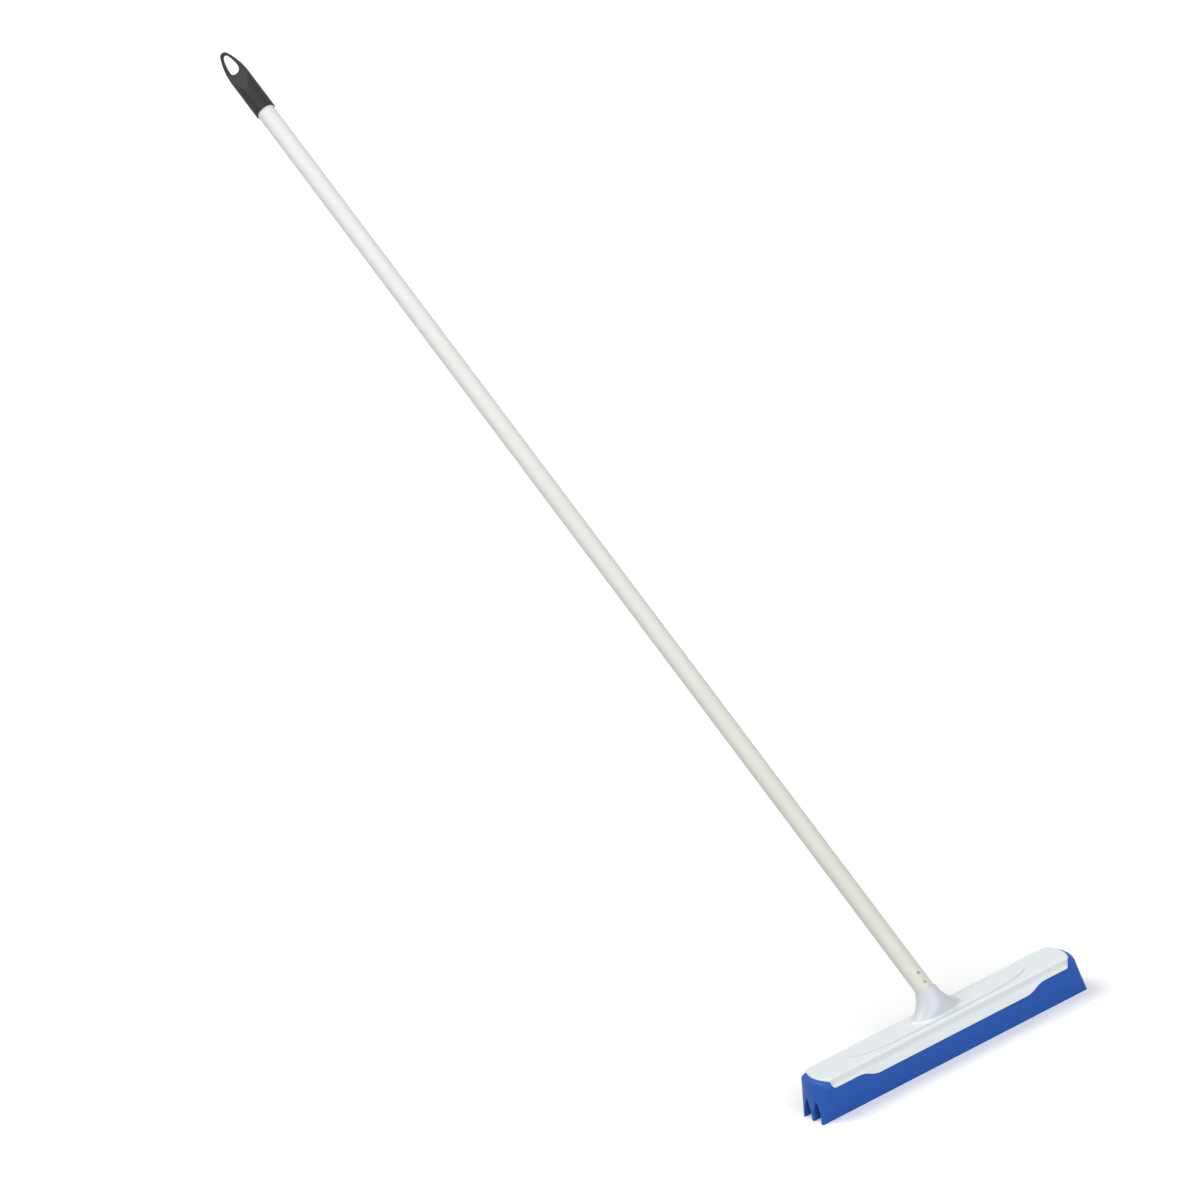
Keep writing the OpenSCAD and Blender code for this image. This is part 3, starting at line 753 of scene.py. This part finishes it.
def cap_half_width(h, s):
    """Half width of the cap at station s: the sleeve, then the arch."""
    across, up = arch(h.cap_d / 2, h.cap_taper, h.cap_tip, FINE_STEPS, FINE_STEPS)
    return np.interp(s, h.cap_len - h.cap_taper + up, across)


def on_cap(h, s, x, n):
    """Points of the cap at station s, x sideways and n off its face, turned with it about the axis."""
    sin, cos = math.sin(h.cap_turn), math.cos(h.cap_turn)
    return on_axis(s, x * cos + n * sin, n * cos - x * sin)


# Rings next to the eye as shares of its rounding, and counts of the rings out from it and through it
EYE_SHARES, FACE_RINGS, EYE_RINGS = (0, 0.04, 0.15, 0.35, 0.65), 42, 5
# Power of the soft least, and shares of the blend's radius where its arc ends and where the sleeve starts
SOFT_POWER, BLEND_END, SLEEVE_START = 5, 0.999, 0.95


def cap_height(h, x, s, away, eye_s):
    """Height of a face of the cap at x sideways, station s and a distance away from the eye.

    It is the soft least of the round sleeve a and the flat loop b, (a^-p + b^-p)^(-1/p). The loop thickens
    towards the sleeve along an arc, and a quarter circle rounds the height off towards the eye."""
    sleeve = np.sqrt(np.maximum(cap_half_width(h, s) ** 2 - x ** 2, 0))
    sleeve[-1, MOUTH_STEPS - 1:] = 0
    back = np.clip(eye_s - s, 0, h.loop_blend * BLEND_END)
    loop = h.loop_t / 2 + h.loop_blend - np.sqrt(h.loop_blend ** 2 - back ** 2)
    height = ((sleeve + WELD) ** -SOFT_POWER + loop ** -SOFT_POWER) ** (-1 / SOFT_POWER)
    height = np.where(back > SLEEVE_START * h.loop_blend, sleeve, np.minimum(height, sleeve))
    soft = h.eye_round
    height = height - soft + np.sqrt(soft ** 2 - (soft - np.minimum(away, soft)) ** 2)
    return np.maximum(height, 0)


def cap_mouth(h, x, height, station):
    """Rings of the cap's mouth and bore, at the angles at which its faces end round the mouth."""
    bend = np.sort(np.arctan2(height[-1, :MOUTH_STEPS], -x[-1, :MOUTH_STEPS]))
    turns = np.concatenate([bend, math.pi - bend[-2::-1]])
    turns = np.concatenate([turns, turns[1:-1] + math.pi])
    radius, bore, lip = h.cap_d / 2, h.tube_d / 2 + h.cap_gap, h.cap_lip
    pairs = np.array([(radius, lip), (radius - lip, 0), (bore + lip, 0), (bore, lip), (bore, h.cap_grip),
                      (0, h.cap_grip)])
    return on_cap(h, station + pairs[:, 1:], pairs[:, :1] * np.cos(turns), pairs[:, :1] * np.sin(turns))


def cap_skin(h):
    """Sheets of the cap's skin: two mirrored faces round the eye, the eye's wall and the mouth.

    A face's rings run from the eye to the outline, and are packed at both."""
    outer, eye, eye_s = cap_outlines(h)
    way = outer - eye
    span = np.linalg.norm(way, axis=-1)
    near = np.array(EYE_SHARES)[:, None] * h.eye_round
    rest = np.sin(np.linspace(0, math.pi / 2, FACE_RINGS))[:, None]
    away = np.concatenate([np.broadcast_to(near, (len(near), len(eye))),
                           h.eye_round + (span - h.eye_round) * rest])
    place = eye + way * (away / span)[..., None]
    x, s = place[..., 0], place[..., 1]
    height = cap_height(h, x, s, away, eye_s)
    station = rim_station() - h.tube_seat + h.tube_len - h.cap_grip
    x, s, height = (np.concatenate([sign * grid, grid[:, -2::-1]], 1)
                    for sign, grid in ((-1, x), (1, s + station), (1, height)))
    sheets = [(on_cap(h, s, x, side * height), False) for side in (1, -1)]
    wall = np.linspace(1, -1, EYE_RINGS)[:, None]
    sheets.append((on_cap(h, s[0], x[0], height[0] * wall), False))
    sheets.append((cap_mouth(h, x, height, station), True))
    return sheets


# Materials

def blank_tree(owner):
    """The emptied node tree of a material or a world."""
    owner.use_nodes = True
    owner.node_tree.nodes.clear()
    return owner.node_tree


def add(tree, kind, inputs=None, **settings):
    """Adds a node with its settings, and sets or links its inputs."""
    made = tree.nodes.new("ShaderNode" + kind)
    for key, value in settings.items():
        setattr(made, key, value)
    for key, value in (inputs or {}).items():
        if isinstance(value, bpy.types.NodeSocket):
            tree.links.new(value, made.inputs[key])
        else:
            made.inputs[key].default_value = value
    return made


def shade(rgb, factor):
    """A linear colour made lighter or darker, with full alpha."""
    return tuple(min(c * factor, 1.0) for c in rgb) + (1.0,)


def per_mm(size_mm):
    """Scale of a noise texture whose features are about size_mm across, in Object coordinates in metres."""
    return 1 / (size_mm * MM)


# Sockets of a Mix node that mixes colours: its share, its two colours and its result
MIX_SHARE, MIX_FROM, MIX_TO, MIX_RESULT = 0, 6, 7, 2


def tinted(tree, paint, share, rgb):
    """The paint with a share of another colour mixed in."""
    mix = add(tree, "Mix", {MIX_SHARE: share, MIX_FROM: paint, MIX_TO: shade(rgb, 1.0)}, data_type="RGBA")
    return mix.outputs[MIX_RESULT]


def worked(tree, kind, operation, *inputs, result="Value"):
    """The named result of a Math or Vector Math node."""
    return add(tree, kind, dict(enumerate(inputs)), operation=operation).outputs[result]


def ranged(tree, value, start=(0.0, 1.0), end=(0.0, 1.0), **settings):
    """A value carried from one range to another."""
    return add(tree, "MapRange", {"Value": value, "From Min": start[0], "From Max": start[1],
                                  "To Min": end[0], "To Max": end[1]}, **settings).outputs["Result"]


# Part of a noise texture's range that is put to use, and depth at which the coating is fully worn
MOTTLE_LOW, MOTTLE_HIGH, WEAR_DEPTH = 0.3, 0.7, 0.6 * MM


def moulded(name, rgb, spread, mottle_mm, grain_mm, grain_depth_mm, rough, ior, shine=0.5,
            along=None, worn=None, painted_shade=None):
    """A moulded or coated surface: slow mottling in the colour, fine grain in the bump and varied gloss.

    rough is the least and greatest roughness. Where along is given, the colour runs from rgb to a second one
    along a direction, between two distances. Where worn is given, a colour and a radius, the colour shows
    below that radius about the handle's axis. Where a band of painted shade is given, as a colour, a height
    and half a span, that colour is painted as shade within that half span of the height."""
    made = bpy.data.materials.new(name)
    tree = blank_tree(made)
    place = add(tree, "TexCoord").outputs["Object"]
    mottle = add(tree, "TexNoise", {"Vector": place, "Scale": per_mm(mottle_mm), "Detail": 3.0,
                                    "Roughness": 0.55}).outputs["Fac"]
    grain = add(tree, "TexNoise", {"Vector": place, "Scale": per_mm(grain_mm), "Detail": 2.0,
                                   "Roughness": 0.5}).outputs["Fac"]
    tone = add(tree, "ValToRGB", {"Fac": mottle})
    stops = zip(tone.color_ramp.elements, (MOTTLE_LOW, MOTTLE_HIGH), (1 - spread, 1 + spread))
    for stop, position, factor in stops:
        stop.position, stop.color = position, shade(rgb, factor)
    paint = tone.outputs["Color"]
    if along is not None:
        second, direction, start, end = along
        station = worked(tree, "VectorMath", "DOT_PRODUCT", place, direction)
        share = ranged(tree, station, (start, end), interpolation_type="SMOOTHSTEP")
        paint = tinted(tree, paint, share, second)
    # Painted shade: a darker band at one height, for the shaded step round the panel
    if painted_shade is not None:
        shading, height, half_span = painted_shade
        z = add(tree, "SeparateXYZ", {"Vector": place}).outputs["Z"]
        step = worked(tree, "Math", "COMPARE", z, height, half_span)
        paint = tinted(tree, paint, step, shading)
    if worn is not None:
        bare, radius = worn
        off = worked(tree, "VectorMath", "SUBTRACT", place, tuple(FOOT), result="Vector")
        arm = worked(tree, "VectorMath", "CROSS_PRODUCT", off, tuple(AXIS), result="Vector")
        reach = worked(tree, "VectorMath", "LENGTH", arm)
        share = ranged(tree, reach, (radius, radius - WEAR_DEPTH))
        paint = tinted(tree, paint, share, bare)
    gloss = ranged(tree, mottle, (MOTTLE_LOW, MOTTLE_HIGH), rough)
    bump = add(tree, "Bump", {"Height": grain, "Strength": 1.0, "Distance": grain_depth_mm * MM})
    shader = add(tree, "BsdfPrincipled", {
        "Base Color": paint, "Roughness": gloss, "IOR": ior, "Specular IOR Level": shine,
        "Normal": bump.outputs["Normal"]})
    add(tree, "OutputMaterial", {"Surface": shader.outputs["BSDF"]})
    return made


# Stage

# Half the floor's width, and its gap under the lips
FLOOR_HALF, FLOOR_GAP = 12.0, 10 * HAIR
# Share of light that the paper sends to the part and to the camera, and the lift that only the camera sees
PAPER_BOUNCE, PAPER, PAPER_LIFT = 0.45, 0.95, 0.15
# Where each lamp shines from, and the degrees of sky that it fills
KEY_FROM, KEY_WIDTH = (-0.45, 0.35, 0.82), 30
FILL_FROM, FILL_WIDTH = (-0.2, -0.82, 0.54), 60
SENSOR_MM = 36.0
CLIP_START, CLIP_END = 0.1, 100.0


def seen_directly(tree):
    """A socket that is 1 where the camera sees a surface, straight or in a reflection or through glass."""
    path = add(tree, "LightPath").outputs
    either = worked(tree, "Math", "MAXIMUM", path["Is Camera Ray"], path["Is Glossy Ray"])
    return worked(tree, "Math", "MAXIMUM", either, path["Is Transmission Ray"])


def lay_floor(scene):
    """Matt white paper that reads as white to the camera and keeps the shadow."""
    corners = np.array([(-1, -1, 0), (1, -1, 0), (1, 1, 0), (-1, 1, 0)]) * FLOOR_HALF - [0, 0, FLOOR_GAP]
    mesh = bpy.data.meshes.new("floor")
    mesh.from_pydata(corners.tolist(), [], [(0, 1, 2, 3)])
    floor = bpy.data.objects.new("floor", mesh)
    scene.collection.objects.link(floor)
    paper = bpy.data.materials.new("paper white")
    tree = blank_tree(paper)
    seen = seen_directly(tree)
    matt = add(tree, "BsdfDiffuse", {"Color": ranged(tree, seen, end=(PAPER_BOUNCE, PAPER))})
    glow = add(tree, "Emission", {"Strength": worked(tree, "Math", "MULTIPLY", seen, PAPER_LIFT)})
    both = add(tree, "AddShader", {0: matt.outputs[0], 1: glow.outputs[0]})
    add(tree, "OutputMaterial", {"Surface": both.outputs[0]})
    mesh.materials.append(paper)


def hang_lights(scene, g):
    """An even white sky, a soft key from above and behind, and a softer fill from the front.

    The key throws the shadow forwards."""
    world = bpy.data.worlds.new("studio")
    scene.world = world
    tree = blank_tree(world)
    level = ranged(tree, seen_directly(tree), end=(g.sky, 1.0))
    sky = add(tree, "Background", {"Color": (1, 1, 1, 1), "Strength": level})
    add(tree, "OutputWorld", {"Surface": sky.outputs[0]})
    for name, source, strength, width in (("key", KEY_FROM, g.key, KEY_WIDTH),
                                          ("fill", FILL_FROM, g.fill, FILL_WIDTH)):
        lamp = bpy.data.lights.new(name, "SUN")
        lamp.energy, lamp.angle = strength, math.radians(width)
        holder = bpy.data.objects.new(name, lamp)
        holder.rotation_mode = "QUATERNION"
        holder.rotation_quaternion = Vector(source).to_track_quat("Z", "Y")
        scene.collection.objects.link(holder)


def camera_axes(azimuth, elevation, roll):
    """Right, up and back of a camera at an azimuth and elevation, turned about its line of sight by roll."""
    sin_a, cos_a = math.sin(azimuth), math.cos(azimuth)
    sin_e, cos_e = math.sin(elevation), math.cos(elevation)
    right = Vector((cos_a, sin_a, 0))
    up = Vector((-sin_a * sin_e, cos_a * sin_e, cos_e))
    back = Vector((sin_a * cos_e, -cos_a * cos_e, sin_e))
    return right * math.cos(roll) - up * math.sin(roll), right * math.sin(roll) + up * math.cos(roll), back


# Operators

# Height over the plate, in fillets, where the neck's painted shade is full, and hair that keeps the painted
# shade on the panel's step off the flat faces
NECK_SHADE_RISE, SHADE_CLEAR = 3, 2 * HAIR
# Distance along the handle at which its cream begins to turn white
CREAM_END = 0.1


class SQUEEGEE_OT_cover(bpy.types.Operator):
    """Builds the moulded cover with its panel, band, apron and neck"""
    bl_idname = "squeegee.cover"
    bl_label = "Cover"

    def execute(self, context):
        c = context.scene.squeegee_cover
        # Injection-moulded polypropylene: waxy white with a satin skin, faint flow mottling and hardly any
        # grain. The neck is painted greyer as shade, and a line of painted shade runs on the step round the
        # panel
        finish = moulded("polypropylene moulded white", c.colour, spread=0.006, mottle_mm=14,
                         grain_mm=3, grain_depth_mm=0.003, rough=(0.3, 0.34), ior=1.49,
                         along=(c.neck_shade_colour, UP, c.top + c.panel_h, c.top + NECK_SHADE_RISE * c.fillet),
                         painted_shade=(c.step_shade_colour, c.top + c.panel_h / 2, c.panel_h / 2 - SHADE_CLEAR))
        build("cover", [(cover_skin(c), True), (neck_skin(c), True)], finish, "head", "head_cover",
              crease=50)
        return {"FINISHED"}


class SQUEEGEE_OT_blade(bpy.types.Operator):
    """Builds the soft blade with its lips, slots and shoulders"""
    bl_idname = "squeegee.blade"
    bl_label = "Blade"

    def execute(self, context):
        c, b = context.scene.squeegee_cover, context.scene.squeegee_blade
        # Moulded rubber: deep blue with a dull skin that is a little uneven, as rubber leaves the mould
        finish = moulded("rubber moulded blue", b.colour, spread=0.05, mottle_mm=9, grain_mm=0.7,
                         grain_depth_mm=0.012, rough=(0.46, 0.58), ior=1.52, shine=0.3)
        build("blade", [(sheet, False) for sheet in blade_skin(b, c)], finish, "head", "blade",
              crease=32)
        return {"FINISHED"}


class SQUEEGEE_OT_ferrule(bpy.types.Operator):
    """Builds the threaded ferrule under the tube"""
    bl_idname = "squeegee.ferrule"
    bl_label = "Ferrule"

    def execute(self, context):
        h = context.scene.squeegee_handle
        # Moulded nylon: dull grey with a fine grain
        finish = moulded("nylon moulded grey", h.ferrule_colour, spread=0.03, mottle_mm=6,
                         grain_mm=0.6, grain_depth_mm=0.01, rough=(0.45, 0.55), ior=1.53)
        build("ferrule", [(ferrule_skin(h), True)], finish, "ferrule", "thread_ferrule")
        return {"FINISHED"}


class SQUEEGEE_OT_tube(bpy.types.Operator):
    """Builds the coated tube with its crimps"""
    bl_idname = "squeegee.tube"
    bl_label = "Tube"

    def execute(self, context):
        h = context.scene.squeegee_handle
        # Steel with a baked coating: satin, a slight orange peel of about 2 mm, darker and creamier low down
        # towards the head, and worn grey where the punch has stretched it
        finish = moulded("baked coating on steel", h.low_colour, spread=0.012, mottle_mm=40,
                         grain_mm=2.2, grain_depth_mm=0.012, rough=(0.3, 0.38), ior=1.5,
                         along=(h.high_colour, tuple(AXIS), CREAM_END, h.tube_len),
                         worn=(h.worn_colour, h.tube_d / 2 - h.crimp_soft))
        build("tube", [(tube_skin(h), True)], finish, "handle", "handle_tube", crease=45)
        return {"FINISHED"}


class SQUEEGEE_OT_cap(bpy.types.Operator):
    """Builds the hang cap with its flat loop and eye"""
    bl_idname = "squeegee.cap"
    bl_label = "Hang cap"

    def execute(self, context):
        h = context.scene.squeegee_handle
        # Moulded polyethylene: charcoal with a matt spark grain of about half a millimetre
        finish = moulded("polyethylene grained charcoal", h.cap_colour, spread=0.16, mottle_mm=2.5,
                         grain_mm=0.55, grain_depth_mm=0.05, rough=(0.5, 0.62), ior=1.5, shine=0.35)
        build("hang_cap_skin", cap_skin(h), finish, "handle", "hang_cap", crease=55)
        return {"FINISHED"}


class SQUEEGEE_OT_stage(bpy.types.Operator):
    """Sets the floor, the light and the camera"""
    bl_idname = "squeegee.stage"
    bl_label = "Stage"

    def execute(self, context):
        scene, g = context.scene, context.scene.squeegee_stage
        scene.view_settings.view_transform = "Standard"
        lay_floor(scene)
        hang_lights(scene, g)
        lens = bpy.data.cameras.new("camera")
        lens.lens, lens.sensor_width = g.lens, SENSOR_MM
        lens.clip_start, lens.clip_end = CLIP_START, CLIP_END
        camera = bpy.data.objects.new("camera", lens)
        right, up, back = camera_axes(g.azimuth, g.elevation, g.roll)
        turn = Matrix((right, up, back)).transposed().to_4x4()
        camera.matrix_world = Matrix.Translation(Vector(g.aim) + back * g.distance) @ turn
        scene.collection.objects.link(camera)
        scene.camera = camera
        return {"FINISHED"}


class SQUEEGEE_PT_panel(bpy.types.Panel):
    """Lists the sizes and the steps that build the squeegee"""
    bl_idname = "SQUEEGEE_PT_panel"
    bl_label = "Floor squeegee"
    bl_space_type = "VIEW_3D"
    bl_region_type = "UI"
    bl_category = "Squeegee"

    def draw(self, context):
        for group in GROUPS:
            sizes = getattr(context.scene, group)
            for name in sizes.__annotations__:
                self.layout.prop(sizes, name)
        for step in STEPS:
            self.layout.operator(step.bl_idname)


GROUPS = {"squeegee_cover": CoverSizes, "squeegee_blade": BladeSizes, "squeegee_handle": HandleSizes,
          "squeegee_stage": StageSizes}
STEPS = (SQUEEGEE_OT_stage, SQUEEGEE_OT_cover, SQUEEGEE_OT_blade, SQUEEGEE_OT_ferrule, SQUEEGEE_OT_tube,
         SQUEEGEE_OT_cap)
CLASSES = tuple(GROUPS.values()) + STEPS + (SQUEEGEE_PT_panel,)


def register():
    """Registers the classes and gives each scene its sizes."""
    for item in CLASSES:
        bpy.utils.register_class(item)
    for name, group in GROUPS.items():
        setattr(bpy.types.Scene, name, PointerProperty(type=group))


def unregister():
    """Takes the sizes and the classes away again."""
    for name in GROUPS:
        delattr(bpy.types.Scene, name)
    for item in reversed(CLASSES):
        bpy.utils.unregister_class(item)


def main():
    """Builds the squeegee."""
    register()
    bpy.ops.squeegee.stage()
    bpy.ops.squeegee.cover()
    bpy.ops.squeegee.blade()
    bpy.ops.squeegee.ferrule()
    bpy.ops.squeegee.tube()
    bpy.ops.squeegee.cap()


if __name__ == "__main__":
    main()
